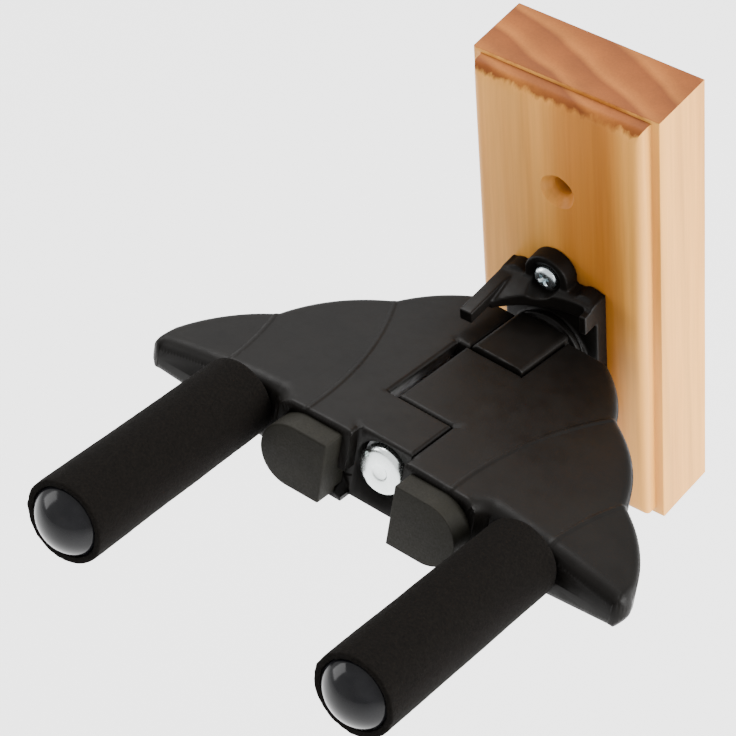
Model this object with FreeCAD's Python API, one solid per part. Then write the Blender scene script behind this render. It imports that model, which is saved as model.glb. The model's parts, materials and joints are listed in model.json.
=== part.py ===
import FreeCAD, Part
import math
import os

from FreeCAD import Vector

# Wall guitar hanger. Millimetres, +Z up. The origin is the centre of the wood block's back face,
# where it meets the wall. The wall is the plane Y = 0 and the hanger points along -Y.
# The yoke (hub, wings, arms) is drawn level about its own axle, then swivelled, tilted up and set on
# the block. Its rest pose is a little off level, left side up, as a hanger stands after use.

# --- Wood block ---
BLOCK_W = 58.0
BLOCK_H = 143.0
BLOCK_D = 26.4
LEDGE_IN = 2.6            # width of the step that runs round the front face
LEDGE_DEPTH = 5.1         # from the front face back to that step
FACE_ROUND = 2.6          # quarter round between the step and the front face
WALL_HOLE_R = 2.9
WALL_SINK_R = 6.0
WALL_HOLE_Z = (38.5, -52.0)
NUT_POCKET_R = 14.0
NUT_POCKET_DEPTH = 17.0
NUT_POCKET_Z = -15.0

# --- Yoke placement ---
TILT = 12.0               # the axle rises this many degrees towards the front
REST_SWIVEL = -4.3        # degrees about the axle, minus is left side up
PIVOT = Vector(0, -BLOCK_D, -14.0)

# --- Wall bracket ---
PLATE_T = 4.7
PLATE_HALF_W = 15.0
PLATE_BOTTOM_Z = -37.0
PLATE_TOP_Z = 6.5
BOSS_X = -1.0             # the boss stands slightly off the plate's middle
BOSS_Z = 11.5
BOSS_R = 6.9
BOSS_T = 5.2
LOBE_X = 11.0
LOBE_R = 4.0
SOCKET_R = 12.0
SOCKET_FRONT = 7.7
SOCKET_REAR = -6.0
HOOD_Z = (4.2, 9.6)
HOOD_FRONT_TOP_Z = 6.6
HOOD_CURVE = ((-10.9, -43.0), (-2.0, -36.2), (15.0, -33.6))
LEFT_RIB_X = (-15.0, -10.9)
LEFT_RIB_Z = (5.4, 9.2)
LEFT_RIB_FRONT_Y = -51.7
RIGHT_RIB_X = (12.8, 15.0)
RIGHT_RIB_Z = (2.4, 8.6)
RIGHT_RIB_FRONT_Y = -36.5
LOW_SCREW_Z = -31.5
BRACKET_SCREW_HEAD_R = 3.5
BRACKET_SCREW_HEAD_H = 2.1
BRACKET_SCREW_R = 2.0
BRACKET_SCREW_LENGTH = 17.0
CROSS_HALF_W = 0.5        # half width of one arm of the screws' cross recess
CROSS_REACH = 2.2
CROSS_DEPTH = 1.3
SCREW_RECESS = 1.0

# --- Hub and axle: distances along the axle count forward from the block's front face ---
SPINDLE_R = 7.0
RUN_FIT = 0.06            # radial clearance of everything that turns
SPINDLE_REAR = -5.9
COLLAR_R = 12.3
COLLAR = (8.0, 10.0)
COLLAR_LIP = 0.6          # flat ring left on the collar's front outside the flare
FLARE_MIDDLE = (9.2, 11.9)
COLLAR_ROOM = 0.7         # radial room round the collar in the bracket
NECK_HALF_W = 8.1
NECK_TOP = 11.0
NECK_R = 13.0
NECK = (15.0, 33.4)
AXLE_R = 4.0
AXLE_REAR = -15.4
HEAD_SEAT = 78.2
HEAD_R = 7.1
HEAD_ROUND = 1.6
DRIVE_R = 2.4
DRIVE_DEPTH = 0.7
HEAD_FRONT = 83.2
WASHER_T = 1.2
WASHER_R = 8.0
THRUST_WASHER_R = 6.2
WASHER_ROOM = 0.3
RETAINER_T = 1.6
RETAINER_R = 9.5
RETAINER_REAR = -7.8
NUT_T = 6.0
NUT_FLATS = 13.0

# --- Reach of cutting blocks, all well beyond the yoke ---
FAR = 120.0
BESIDE = 30.0
TALL = (-20.0, 20.0)

# --- Wings: x is sideways, s forward along the axle, w up from it ---
FOLD_MAX = 30.0           # each wing folds down this far
KNUCKLE_R = 13.6
KNUCKLE_ROOM = 0.8        # radial room for the other wing's knuckle
REAR_KNUCKLE = (33.7, 64.2)
FRONT_KNUCKLE = (64.6, 82.0)
TAB_X = 8.0               # the front knuckle's flat side
REAR_TAB_X = 9.4          # the rear knuckle's flat side
SLOT_W = 3.0              # visible slot beside the rear knuckle
GAP = 0.4
WING_TOP = 9.8
WING_BOTTOM = -12.8
FLAT_OUT = 12.0           # the section is level from the axle out to here, above and below
CROWN = (46.0, 7.9)       # point on the crowned top
BELLY = (45.0, -9.2)      # where the belly turns level
TIP_X = 73.6
TIP_TOP = 3.0
TIP_BOTTOM = -7.0
TIP_OUT = (77.2, -1.8)
WING_FRONT_S = 83.4       # front edge beside the lip
SCALLOPS = (((22.3, 12.4), (29.9, 19.4), (36.2, 29.0)),
            ((36.2, 29.0), (48.3, 39.2), (56.5, 54.0)),
            ((56.5, 54.0), (68.0, 64.2), (75.2, 77.6)),
            ((75.2, 77.6), (75.6, 81.6), (72.4, WING_FRONT_S)))
PART_W = -3.0             # where the upper shell meets the lower cover
WALL = 2.4
ROOF_UNDER_TAB = 4.9      # the shell's inner side walls clear the other wing's knuckle below this
ROOF_UNDER_SLOT = 5.8
ROOF_UNDER_NECK = 2.9
UNDER_V = 33.0            # half-angle of the open V under the axle that lets the wings fold
LIP_S = 86.0
LIP_IN = 8.6
LIP_OUT = 31.3
LIP_CURVE = (2.9, 0.9)    # reach and bulge of the curve from the lip back to the wing's front edge
PLATE_OUT = 9.5           # own-side half width of the front knuckle's square face
BUSH_R = 5.4
CHAMBER_R = 9.6
CHAMBER = (37.4, 58.0)
RING_R = 8.5
RING_BACK = 77.0

# --- Arms ---
ARM_X = 45.4
ARM_DROOP = 1.8           # degrees that the arms lean down from the axle's direction
ROD_R = 5.0
ROD = (50.0, 149.0)
FOAM = (84.0, 154.6)
FOAM_ROOT_R = 11.2
FOAM_FRONT_R = 11.9
FOAM_HOLE_DEPTH = 5.0
CAP_R = 9.8
CAP_BACK = 149.8
CAP_RIM = 154.0
CAP_FRONT = 159.4
PIN_R = 1.5
PIN_S = 58.0
PIN_BOTTOM = -7.0
BOSS_HALF_W = 7.2

# --- Neck pads ---
PAD_X = (11.0, 31.0)
PAD_W = (-11.2, 7.7)
PAD = (82.6, 93.0)
PAD_WALL_BACK = 79.4
PAD_STEM_R = 3.0
PAD_STEM = (19.0, -1.6)
PAD_STEM_BACK = 73.0
PAD_FIT = 0.1

# --- Cover screws ---
COVER_SCREWS = ((26.0, 26.0), (30.5, 62.0), (62.5, 72.0))
COVER_SCREW_R = 1.5
COVER_SCREW_HEAD_R = 3.0
COVER_SCREW_HEAD_H = 1.8
COVER_SCREW_TOP = 2.5
SCREW_HEAD_ROOM = 0.35
COVER_BOSS_R = 4.0

# --- Torsion spring ---
SPRING_WIRE_R = 0.7
SPRING_R = 7.3
SPRING_COILS = 9
SPRING_BEND_R = 0.75      # the wire is a little thicker where it turns into a leg
SPRING_S = (39.6, 55.6)
SPRING_LEG = (35.0, 70.0)
SPRING_LEG_ANGLE = 60.0
SPRING_LEG_ROOM = 0.4
SPRING_SLOT_SPARE = 10.0  # degrees of slot beyond the leg's own travel at each end


def box(x, y, z):
    """Box between two values on each axis."""
    return Part.makeBox(x[1] - x[0], y[1] - y[0], z[1] - z[0], Vector(x[0], y[0], z[0]))


def rod(radius, s, x=0.0, w=0.0):
    """Round bar along the yoke's axle direction, from s[0] forward to s[1]."""
    return Part.makeCylinder(radius, s[1] - s[0], Vector(x, -s[0], w), Vector(0, -1, 0))


def upright(radius, w, x, s):
    """Round bar along the yoke's own vertical."""
    return Part.makeCylinder(radius, w[1] - w[0], Vector(x, -s, w[0]))


def slab(x, s, w):
    """Box in yoke coordinates."""
    return box(x, (-s[1], -s[0]), w)


def tube(outer, inner, s):
    return rod(outer, s).cut(rod(inner, (s[0] - 1.0, s[1] + 1.0)))


def prism(points, s):
    """Polygon of (x, w) points, carried along the axle from s[0] to s[1]."""
    ring = [Vector(x, -s[0], w) for x, w in points]
    face = Part.Face(Part.makePolygon(ring + [ring[0]]))
    return face.extrude(Vector(0, s[0] - s[1], 0))


def fuse(shapes):
    """One clean solid from touching pieces."""
    return shapes[0].multiFuse(shapes[1:]).removeSplitter()


def mirror(shape):
    return shape.mirror(Vector(0, 0, 0), Vector(1, 0, 0))


def place_on_block(shape):
    """Swivel and tilt a yoke piece and set it at the pivot point on the block."""
    tilted = shape.copy()
    tilted.rotate(Vector(0, 0, 0), Vector(0, -1, 0), REST_SWIVEL)
    tilted.rotate(Vector(0, 0, 0), Vector(1, 0, 0), -TILT)
    tilted.translate(PIVOT)
    return tilted


def on_arm(shape):
    """Lean an arm piece down towards the front about the wing's front edge."""
    leaned = shape.copy()
    leaned.rotate(Vector(ARM_X, -FOAM[0], 0), Vector(1, 0, 0), ARM_DROOP)
    return leaned


# --- Fixed pieces ---

def wall_hole(z):
    """Screw hole through the block with a countersink in the front face."""
    front = -BLOCK_D - 1.0
    shank = Part.makeCylinder(WALL_HOLE_R, BLOCK_D + 2.0, Vector(0, front, z), Vector(0, 1, 0))
    sink = Part.makeCone(WALL_SINK_R + 1.0, WALL_HOLE_R, WALL_SINK_R - WALL_HOLE_R + 1.0,
                         Vector(0, front, z), Vector(0, 1, 0))
    return shank.fuse(sink)


def make_wood_block():
    """Block with a stepped quarter round on its four front edges."""
    half_w = BLOCK_W / 2
    half_h = BLOCK_H / 2
    step_y = -(BLOCK_D - LEDGE_DEPTH)
    back = box((-half_w, half_w), (step_y, 0), (-half_h, half_h))
    core_w = half_w - LEDGE_IN
    core_h = half_h - LEDGE_IN
    core = box((-core_w, core_w), (-BLOCK_D, step_y), (-core_h, core_h))
    front_edges = [edge for edge in core.Edges
                   if all(abs(vertex.Y + BLOCK_D) < 0.01 for vertex in edge.Vertexes)]
    block = fuse([back, core.makeFillet(FACE_ROUND, front_edges)])
    for z in WALL_HOLE_Z:
        block = block.cut(wall_hole(z))
    pocket = Part.makeCylinder(NUT_POCKET_R, NUT_POCKET_DEPTH,
                               Vector(0, -BLOCK_D, NUT_POCKET_Z), Vector(0, 1, 0))
    block = block.cut(pocket)
    return block.cut(make_bracket_screws())


def bracket_screw(x, z, seat_y):
    """Pan-head wood screw with a cross recess, driven along +Y."""
    front_y = seat_y - BRACKET_SCREW_HEAD_H
    head = Part.makeCylinder(BRACKET_SCREW_HEAD_R, BRACKET_SCREW_HEAD_H, Vector(x, front_y, z),
                             Vector(0, 1, 0))
    front_rim = [edge for edge in head.Edges if len(edge.Vertexes) == 1
                 and edge.Vertexes[0].Y < front_y + 0.01]
    head = head.makeFillet(BRACKET_SCREW_HEAD_H * 0.6, front_rim)
    shank = Part.makeCylinder(BRACKET_SCREW_R, BRACKET_SCREW_LENGTH, Vector(x, seat_y, z),
                              Vector(0, 1, 0))
    depth = (front_y - 1.0, front_y + CROSS_DEPTH)
    level = box((x - CROSS_REACH, x + CROSS_REACH), depth, (z - CROSS_HALF_W, z + CROSS_HALF_W))
    vertical = box((x - CROSS_HALF_W, x + CROSS_HALF_W), depth, (z - CROSS_REACH, z + CROSS_REACH))
    return fuse([head, shank]).cut(level.fuse(vertical))


def make_bracket_screws():
    """Upper screw in the boss and lower screw in the plate, as two separate solids."""
    top_seat = -BLOCK_D - BOSS_T + SCREW_RECESS
    low_seat = -BLOCK_D - PLATE_T + SCREW_RECESS
    return Part.makeCompound([bracket_screw(BOSS_X, BOSS_Z, top_seat),
                              bracket_screw(0, LOW_SCREW_Z, low_seat)])


def hood():
    """Roof over the collar whose front edge sweeps back from the long rib to the short one."""
    left, right = LEFT_RIB_X[0], RIGHT_RIB_X[1]
    front = [Vector(x, y, HOOD_Z[0]) for x, y in HOOD_CURVE]
    curve = Part.Arc(*front).toShape()
    rest = Part.makePolygon([front[2], Vector(right, -BLOCK_D, HOOD_Z[0]),
                             Vector(left, -BLOCK_D, HOOD_Z[0]),
                             Vector(left, front[0].y, HOOD_Z[0]), front[0]])
    face = Part.Face(Part.Wire([curve] + rest.Edges))
    roof = face.extrude(Vector(0, 0, HOOD_Z[1] - HOOD_Z[0]))
    beyond_y = front[0].y - 10.0
    slope = [Vector(left - 1.0, -BLOCK_D - PLATE_T, HOOD_Z[1] + 0.1),
             Vector(left - 1.0, beyond_y, HOOD_Z[1] + 0.1),
             Vector(left - 1.0, beyond_y, HOOD_FRONT_TOP_Z),
             Vector(left - 1.0, front[0].y, HOOD_FRONT_TOP_Z)]
    above = Part.Face(Part.makePolygon(slope + [slope[0]])).extrude(Vector(right - left + 2.0, 0, 0))
    return roof.cut(above)


def bracket_plate():
    """Back plate with a round boss at the top and a lobe on each shoulder."""
    back_y = -BLOCK_D
    plate = box((-PLATE_HALF_W, PLATE_HALF_W), (back_y - PLATE_T, back_y),
                (PLATE_BOTTOM_Z, PLATE_TOP_Z))
    boss = Part.makeCylinder(BOSS_R, BOSS_T, Vector(BOSS_X, back_y - BOSS_T, BOSS_Z), Vector(0, 1, 0))
    boss_foot = box((BOSS_X - BOSS_R, BOSS_X + BOSS_R), (back_y - BOSS_T, back_y), (HOOD_Z[0], BOSS_Z))
    lobes = [Part.makeCylinder(LOBE_R, PLATE_T, Vector(x, back_y - PLATE_T, PLATE_TOP_Z),
                               Vector(0, 1, 0)) for x in (-LOBE_X, LOBE_X)]
    return fuse([plate, boss, boss_foot] + lobes)


def make_wall_bracket():
    """Plate, hood, the two side ribs and the tilted socket that the hub turns in."""
    back_y = -BLOCK_D
    left_rib = box(LEFT_RIB_X, (LEFT_RIB_FRONT_Y, back_y), LEFT_RIB_Z)
    right_rib = box(RIGHT_RIB_X, (RIGHT_RIB_FRONT_Y, back_y), RIGHT_RIB_Z)
    socket = place_on_block(rod(SOCKET_R, (SOCKET_REAR, SOCKET_FRONT)))
    bracket = fuse([bracket_plate(), hood(), left_rib, right_rib, socket])
    bore = place_on_block(rod(SPINDLE_R + RUN_FIT, (SOCKET_REAR - 5.0, SOCKET_FRONT + 5.0)))
    bracket = bracket.cut(bore)
    bracket = bracket.cut(place_on_block(rod(COLLAR_R + COLLAR_ROOM, (SOCKET_FRONT, COLLAR[1] + 1.0))))
    seats = ((BOSS_X, BOSS_Z, BOSS_T), (0, LOW_SCREW_Z, PLATE_T))
    for x, z, thickness in seats:
        face_y = back_y - thickness
        recess = Part.makeCylinder(BRACKET_SCREW_HEAD_R + SCREW_RECESS, SCREW_RECESS + BOSS_T,
                                   Vector(x, face_y - BOSS_T, z), Vector(0, 1, 0))
        hole = Part.makeCylinder(BRACKET_SCREW_R, BOSS_T + 1.0, Vector(x, face_y, z), Vector(0, 1, 0))
        bracket = bracket.cut(recess).cut(hole)
    return bracket


# --- Hub body ---

def make_swivel_hub():
    """Spindle in the bracket, round collar, concave flare and the square neck that holds the axle."""
    spindle = rod(SPINDLE_R, (SPINDLE_REAR, COLLAR[0] + 1.0))
    collar = rod(COLLAR_R, COLLAR)
    flare_profile = Part.Wire([
        Part.makeLine(Vector(0, -COLLAR[1], 0), Vector(COLLAR_R - COLLAR_LIP, -COLLAR[1], 0)),
        Part.Arc(Vector(COLLAR_R - COLLAR_LIP, -COLLAR[1], 0),
                 Vector(FLARE_MIDDLE[0], -FLARE_MIDDLE[1], 0),
                 Vector(NECK_HALF_W, -NECK[0], 0)).toShape(),
        Part.makeLine(Vector(NECK_HALF_W, -NECK[0], 0), Vector(0, -NECK[0], 0)),
        Part.makeLine(Vector(0, -NECK[0], 0), Vector(0, -COLLAR[1], 0))])
    flare = Part.Face(flare_profile).revolve(Vector(0, 0, 0), Vector(0, 1, 0), 360)
    neck = rod(NECK_R, (COLLAR[1] + 1.0, NECK[1])).common(
        slab((-NECK_HALF_W, NECK_HALF_W), (COLLAR[0], NECK[1]), (-NECK_R, NECK_TOP)))
    hub = fuse([spindle, collar, flare, neck])
    hub = hub.cut(rod(AXLE_R, (SPINDLE_REAR - 1.0, NECK[1] + 1.0)))
    seat_depth = WASHER_T / 2 - (REAR_KNUCKLE[0] - NECK[1])
    return hub.cut(rod(THRUST_WASHER_R + WASHER_ROOM, (NECK[1] - seat_depth, NECK[1] + 1.0)))


def make_axle_bolt():
    """Long bolt with a low round head and a plain drive hole, the hinge pin of both wings."""
    head = rod(HEAD_R, (HEAD_SEAT, HEAD_FRONT))
    rim = [edge for edge in head.Edges if len(edge.Vertexes) == 1
           and edge.Vertexes[0].Y < -HEAD_FRONT + 0.01]
    head = head.makeFillet(HEAD_ROUND, rim)
    drive = rod(DRIVE_R, (HEAD_FRONT - DRIVE_DEPTH, HEAD_FRONT + 1.0))
    return fuse([head.cut(drive), rod(AXLE_R, (AXLE_REAR, HEAD_SEAT + 0.5))])


def make_head_washer():
    return tube(WASHER_R, AXLE_R, (RING_BACK, HEAD_SEAT))


def make_knuckle_washer():
    """Spacer between the two knuckles, let into both of their faces."""
    middle = (REAR_KNUCKLE[1] + FRONT_KNUCKLE[0]) / 2
    return tube(THRUST_WASHER_R, AXLE_R, (middle - WASHER_T / 2, middle + WASHER_T / 2))


def make_hub_washer():
    front = REAR_KNUCKLE[0] + WASHER_T / 2
    return tube(THRUST_WASHER_R, AXLE_R, (front - WASHER_T, front))


def make_retaining_washer():
    return tube(RETAINER_R, AXLE_R, (RETAINER_REAR, RETAINER_REAR + RETAINER_T))


def make_lock_nut():
    """Hexagon lock nut that holds the yoke in the bracket."""
    corner_r = NUT_FLATS / math.sqrt(3)
    corners = [(corner_r * math.cos(math.radians(60 * k)), corner_r * math.sin(math.radians(60 * k)))
               for k in range(6)]
    hexagon = prism(corners, (RETAINER_REAR - NUT_T, RETAINER_REAR))
    return hexagon.cut(rod(AXLE_R, (RETAINER_REAR - NUT_T - 1.0, RETAINER_REAR + 1.0)))


# --- Wings, drawn for the right side (x above 0) and mirrored ---

def wing_outline():
    """Edge of one wing seen from above: three feather scallops, a round tip and the front lip."""
    def at(point):
        return Vector(point[0], -point[1], 0)

    def arc(a, b, c):
        return Part.Arc(at(a), at(b), at(c)).toShape()

    rear = (0, SCALLOPS[0][0][1])
    lip_start = (LIP_OUT + LIP_CURVE[0], WING_FRONT_S)
    lip_middle = (LIP_OUT + LIP_CURVE[0] / 2, WING_FRONT_S + LIP_CURVE[1])
    lip_end = (LIP_OUT, LIP_S)
    edges = [Part.makeLine(at(rear), at(SCALLOPS[0][0]))]
    edges += [arc(*scallop) for scallop in SCALLOPS]
    edges.append(Part.makeLine(at(SCALLOPS[-1][-1]), at(lip_start)))
    edges.append(arc(lip_start, lip_middle, lip_end))
    edges.append(Part.makeLine(at(lip_end), at((0, LIP_S))))
    edges.append(Part.makeLine(at((0, LIP_S)), at(rear)))
    return Part.Wire(edges)


def wing_section(inset):
    """Cross-section of one wing looking along the axle: crowned top, rounded tip, sloping belly."""
    def at(x, w):
        return Vector(x, -10.0, w)

    mid_low, mid_high = at(0, WING_BOTTOM + inset), at(0, WING_TOP - inset)
    flat_high, flat_low = at(FLAT_OUT, WING_TOP - inset), at(FLAT_OUT, WING_BOTTOM + inset)
    crown = at(CROWN[0], CROWN[1] - inset)
    tip_high, tip_low = at(TIP_X - inset, TIP_TOP - inset), at(TIP_X - inset, TIP_BOTTOM + inset)
    tip = at(TIP_OUT[0] - inset, TIP_OUT[1])
    belly = at(BELLY[0], BELLY[1] + inset)
    edges = [
        Part.makeLine(mid_low, mid_high),
        Part.makeLine(mid_high, flat_high),
        Part.Arc(flat_high, crown, tip_high).toShape(),
        Part.Arc(tip_high, tip, tip_low).toShape(),
        Part.makeLine(tip_low, belly),
        Part.makeLine(belly, flat_low),
        Part.makeLine(flat_low, mid_low)]
    return Part.Face(Part.Wire(edges)).extrude(Vector(0, -LIP_S, 0))


def wing_body():
    """Outer form of one wing, without its knuckle."""
    plan = Part.Face(wing_outline())
    plan.translate(Vector(0, 0, WING_BOTTOM - 1.0))
    return plan.extrude(Vector(0, 0, WING_TOP - WING_BOTTOM + 2.0)).common(wing_section(0.0))


def wing_cavity():
    """Hollow inside one wing, a wall's thickness in from its outside."""
    inner = wing_outline().makeOffset2D(-WALL)
    plan = Part.Face(inner)
    plan.translate(Vector(0, 0, WING_BOTTOM - 1.0))
    hollow = plan.extrude(Vector(0, 0, WING_TOP - WING_BOTTOM + 2.0)).common(wing_section(WALL))
    return hollow.cut(slab((0, KNUCKLE_R + KNUCKLE_ROOM + WALL), (0, FAR), TALL))


def under_v():
    """Open V under the axle, swept by the other wing as both fold."""
    reach = 30.0
    spread = reach * math.tan(math.radians(UNDER_V))
    return prism([(0, 0), (spread, -reach), (-spread, -reach)], (0, FAR))


def inner_clearance(tab_x, roof, s):
    """Room beside the axle for the other wing's knuckle or the hub, which turn against this wing."""
    side = slab((-BESIDE, tab_x + GAP), s, TALL)
    barrel = rod(KNUCKLE_R + KNUCKLE_ROOM, s).common(slab((-BESIDE, BESIDE), s, (TALL[0], roof)))
    return side.fuse(barrel)


def knuckle(s, flat_x):
    """Barrel round the axle with a flat top and, on the far side, a flat at x = -flat_x."""
    return rod(KNUCKLE_R, s).common(slab((-flat_x, BESIDE), s, (WING_BOTTOM, WING_TOP)))


def knuckle_bridge(s):
    """Joins a knuckle to the wing's roof and wall on its own side."""
    return slab((0, KNUCKLE_R + KNUCKLE_ROOM + WALL), s, (PART_W, WING_TOP))


def front_plate():
    """Square lower corner of the front knuckle on its own side."""
    return slab((0, PLATE_OUT), FRONT_KNUCKLE, (WING_BOTTOM, 0))


def arm_boss():
    return slab((ARM_X - BOSS_HALF_W, ARM_X + BOSS_HALF_W), (ROD[0] - 4.0, WING_FRONT_S), TALL)


def pad_pocket():
    """Recess in the wing's front that the pad sits in, open towards the front."""
    return pad_block((PAD[0], FAR), PAD_FIT)


def pad_stem(s):
    return rod(PAD_STEM_R, s, *PAD_STEM)


def pad_block(s, grow):
    """D-shaped block: flat towards the neck and below, round on the outer side."""
    low, high = PAD_W[0] - grow, PAD_W[1] + grow
    radius = (high - low) / 2
    inner = PAD_X[0] - grow
    outer = PAD_X[1] + grow - radius
    flat = slab((inner, outer), s, (low, high))
    return flat.fuse(rod(radius, s, outer, (low + high) / 2))


def wing_solid(s_knuckle, far_flat, clearances):
    """One whole wing before it is split into shell and cover."""
    body = wing_body().cut(wing_cavity())
    bosses = [upright(COVER_BOSS_R, TALL, x, s) for x, s in COVER_SCREWS]
    pad_wall = slab((PAD_X[0], LIP_OUT + 3.0), (PAD_WALL_BACK, LIP_S), TALL)
    inside = [piece.common(wing_body()) for piece in bosses + [arm_boss(), pad_wall]]
    body = fuse([body] + inside)
    for clearance in clearances:
        body = body.cut(clearance)
    body = body.cut(under_v())
    body = body.cut(on_arm(rod(ROD_R, (ROD[0], FAR), ARM_X)))
    body = body.cut(on_arm(upright(PIN_R, (TALL[0], ROD_R + 1.0), ARM_X, PIN_S)))
    return body, knuckle(s_knuckle, far_flat)


def right_wing_solids():
    """Right wing: the rear knuckle, with the spring chamber inside, belongs to its shell."""
    clearances = [inner_clearance(NECK_HALF_W, ROOF_UNDER_NECK, (0, REAR_KNUCKLE[0])),
                  inner_clearance(TAB_X, ROOF_UNDER_TAB, (REAR_KNUCKLE[1], FRONT_KNUCKLE[1] + GAP)),
                  inner_clearance(LIP_IN - GAP, PART_W, (FRONT_KNUCKLE[1], FAR))]
    body, barrel = wing_solid(REAR_KNUCKLE, REAR_TAB_X, clearances)
    return body, barrel, REAR_KNUCKLE


def left_wing_solids():
    """Left wing drawn on the right side: the front knuckle belongs to its shell."""
    clearances = [inner_clearance(NECK_HALF_W, ROOF_UNDER_NECK, (0, REAR_KNUCKLE[0])),
                  inner_clearance(REAR_TAB_X + SLOT_W - GAP, ROOF_UNDER_SLOT,
                                  (REAR_KNUCKLE[0] - GAP, FRONT_KNUCKLE[0])),
                  inner_clearance(LIP_IN - GAP, PART_W, (FRONT_KNUCKLE[1], FAR))]
    body, barrel = wing_solid(FRONT_KNUCKLE, TAB_X, clearances)
    return body, fuse([barrel, front_plate()]), FRONT_KNUCKLE


def split_wing(body, barrel, s_knuckle):
    """Upper shell with its knuckle, and the lower cover that screws to it."""
    above = slab((-BESIDE, FAR), (0, FAR), (PART_W, TALL[1]))
    below = slab((-BESIDE, FAR), (0, FAR), (TALL[0], PART_W))
    bridge = knuckle_bridge(s_knuckle)
    own_side = slab((0, FAR), s_knuckle, TALL)
    shell = fuse([body.common(above), barrel, bridge])
    cover = body.common(below).cut(rod(KNUCKLE_R, s_knuckle).common(own_side)).cut(barrel)
    for x, s in COVER_SCREWS:
        shell = shell.cut(upright(COVER_SCREW_R, (TALL[0], COVER_SCREW_TOP), x, s))
        cover = cover.cut(upright(COVER_SCREW_R, (TALL[0], 0), x, s))
        sink = upright(COVER_SCREW_HEAD_R + SCREW_HEAD_ROOM, (TALL[0], screw_seat(x)), x, s)
        cover = cover.cut(sink)
    pocket = pad_pocket().fuse(pad_stem((PAD_STEM_BACK, LIP_S)))
    return largest(shell.cut(pocket)), largest(cover.cut(pocket))


def largest(shape):
    """The biggest solid of a cut, without the loose slivers that a cut can leave."""
    return max(shape.Solids, key=lambda solid: solid.Volume)


def screw_seat(x):
    """Height of the cover screws' seats: flush heads in the sloping belly."""
    slope = (BELLY[1] - WING_BOTTOM) / (BELLY[0] - FLAT_OUT)
    belly = WING_BOTTOM + (x - FLAT_OUT) * slope
    return min(belly, -8.0) + COVER_SCREW_HEAD_H + SCREW_HEAD_ROOM


def make_cover_screws():
    """Three pan-head screws, as separate solids."""
    screws = []
    for x, s in COVER_SCREWS:
        seat = screw_seat(x)
        head = upright(COVER_SCREW_HEAD_R, (seat - COVER_SCREW_HEAD_H, seat), x, s)
        shank = upright(COVER_SCREW_R, (seat, COVER_SCREW_TOP), x, s)
        screws.append(fuse([head, shank]))
    return Part.makeCompound(screws)


def bore_right(shell):
    """Bush bore, spring chamber, washer seats and the slot for the spring's front leg."""
    shell = shell.cut(rod(BUSH_R, (REAR_KNUCKLE[0] - 1.0, REAR_KNUCKLE[1] + 1.0)))
    shell = shell.cut(rod(CHAMBER_R, CHAMBER))
    shell = shell.cut(washer_seats(REAR_KNUCKLE))
    leg_room = SPRING_WIRE_R + SPRING_LEG_ROOM
    ring = rod(SPRING_R + leg_room, (CHAMBER[1] - 0.1, REAR_KNUCKLE[1] + 1.0)).cut(
        rod(SPRING_R - leg_room, (CHAMBER[1] - 1.0, REAR_KNUCKLE[1] + 2.0)))
    start = math.radians(SPRING_LEG_ANGLE - SPRING_SLOT_SPARE)
    end = math.radians(SPRING_LEG_ANGLE + 2 * FOLD_MAX + SPRING_SLOT_SPARE)
    middle = (start + end) / 2
    reach = 2 * KNUCKLE_R
    fan = [(0, 0)] + [(reach * math.cos(a), reach * math.sin(a)) for a in (start, middle, end)]
    slot = ring.common(prism(fan, (CHAMBER[1] - 0.1, REAR_KNUCKLE[1] + 1.0)))
    shell = shell.cut(slot)
    return shell.cut(spring_leg((SPRING_LEG[0], CHAMBER[0] + 0.1), SPRING_LEG_ANGLE))


def bore_left(shell):
    """Bush bore, washer seats, the ring round the bolt head and the spring leg's hole."""
    shell = shell.cut(rod(BUSH_R, (FRONT_KNUCKLE[0] - 1.0, RING_BACK + 1.0)))
    shell = shell.cut(washer_seats(FRONT_KNUCKLE, front=False))
    shell = shell.cut(rod(RING_R, (RING_BACK, FRONT_KNUCKLE[1] + 1.0)))
    return shell.cut(spring_leg((FRONT_KNUCKLE[0] - 1.0, SPRING_LEG[1]), SPRING_LEG_ANGLE))


def washer_seats(s, front=True):
    depth = WASHER_T / 2
    seats = rod(THRUST_WASHER_R + WASHER_ROOM, (s[0] - 1.0, s[0] + depth))
    if front:
        seats = seats.fuse(rod(THRUST_WASHER_R + WASHER_ROOM, (s[1] - depth, s[1] + 1.0)))
    return seats


def spring_leg(s, angle):
    """Straight leg of the spring, parallel to the axle."""
    a = math.radians(angle)
    return rod(SPRING_WIRE_R, s, SPRING_R * math.cos(a), SPRING_R * math.sin(a))


def make_torsion_spring():
    """Close coils round the bush, one leg in each wing, which hold the wings open."""
    pitch = (SPRING_S[1] - SPRING_S[0]) / SPRING_COILS
    helix = Part.makeHelix(pitch, pitch * SPRING_COILS, SPRING_R)
    helix.rotate(Vector(0, 0, 0), Vector(1, 0, 0), 90)
    helix.rotate(Vector(0, 0, 0), Vector(0, 1, 0), -SPRING_LEG_ANGLE)
    helix.translate(Vector(0, -SPRING_S[0], 0))
    path = Part.Wire(helix.Edges)
    turn = path.Edges[0]
    start = turn.valueAt(turn.FirstParameter)
    end = turn.valueAt(turn.LastParameter)
    heading = turn.tangentAt(turn.FirstParameter)
    profile = Part.Wire([Part.makeCircle(SPRING_WIRE_R, start, heading)])
    coil = path.makePipeShell([profile], True, True)
    bends = [Part.makeSphere(SPRING_BEND_R, point) for point in (start, end)]
    rear = spring_leg((SPRING_LEG[0], SPRING_S[0]), SPRING_LEG_ANGLE)
    front = spring_leg((SPRING_S[1], SPRING_LEG[1]), SPRING_LEG_ANGLE)
    return fuse([coil, rear, front] + bends)


def make_right_bush():
    return tube(BUSH_R, AXLE_R + RUN_FIT, (REAR_KNUCKLE[0] + WASHER_T / 2, REAR_KNUCKLE[1] - WASHER_T / 2))


def make_left_bush():
    return tube(BUSH_R, AXLE_R + RUN_FIT, (FRONT_KNUCKLE[0] + WASHER_T / 2, RING_BACK))


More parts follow.
